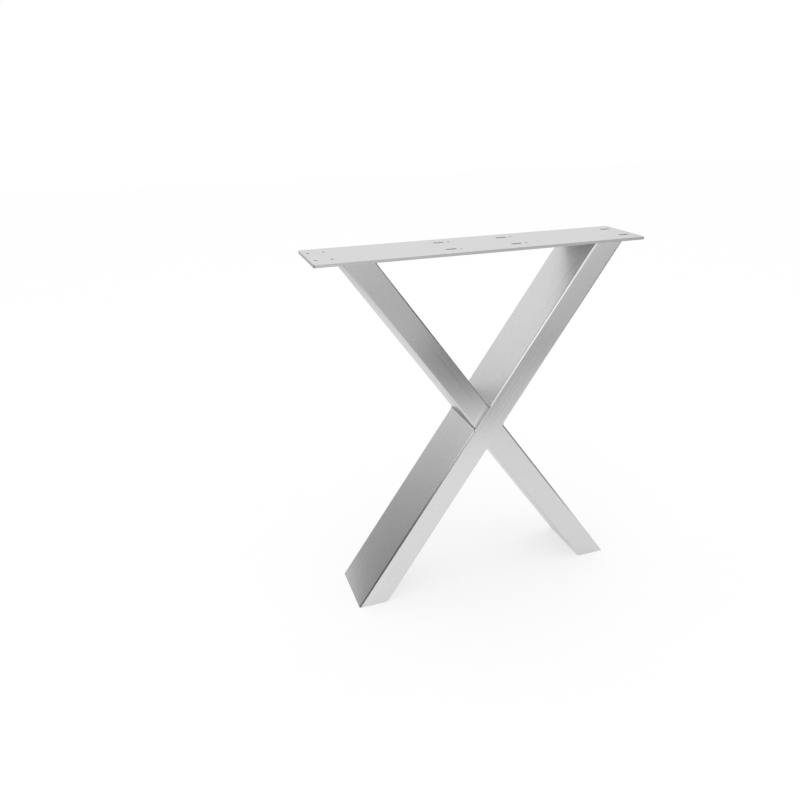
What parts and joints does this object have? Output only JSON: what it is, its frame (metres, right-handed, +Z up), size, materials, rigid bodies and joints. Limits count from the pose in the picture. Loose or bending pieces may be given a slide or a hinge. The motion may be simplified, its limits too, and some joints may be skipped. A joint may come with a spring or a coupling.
{
  "type": "x shaped table leg",
  "caption": "X shaped table leg welded from rectangular metal tube, with a flat drilled and slotted mounting plate across its top.",
  "frame": {"origin": "on the floor, under the middle of the mounting plate", "axes": "+Z up from the feet to the plate, +X along the plate towards its slotted end, -Y towards the front, where the plate's edge and the tubes are flush"},
  "size_m": [0.675, 0.14, 0.72],
  "materials": {
    "brushed_plate": "stainless steel, finely brushed along the plate",
    "brushed_tube": "stainless steel, brushed along the tube",
    "mill_finish_plate": "stainless steel, dull cold-rolled finish",
    "weld": "stainless weld metal, cleaned, ground flush on the front and back faces"
  },
  "bodies": {
    "root": {"top_plate": "brushed_plate", "long_leg_tube": "brushed_tube", "upper_short_tube": "brushed_tube", "lower_short_tube": "brushed_tube", "long_leg_foot_plate": "mill_finish_plate", "short_leg_foot_plate": "mill_finish_plate", "long_leg_plate_weld": "weld", "short_leg_plate_weld": "weld", "upper_crossing_weld": "weld", "lower_crossing_weld": "weld"}
  },
  "joints": []
}
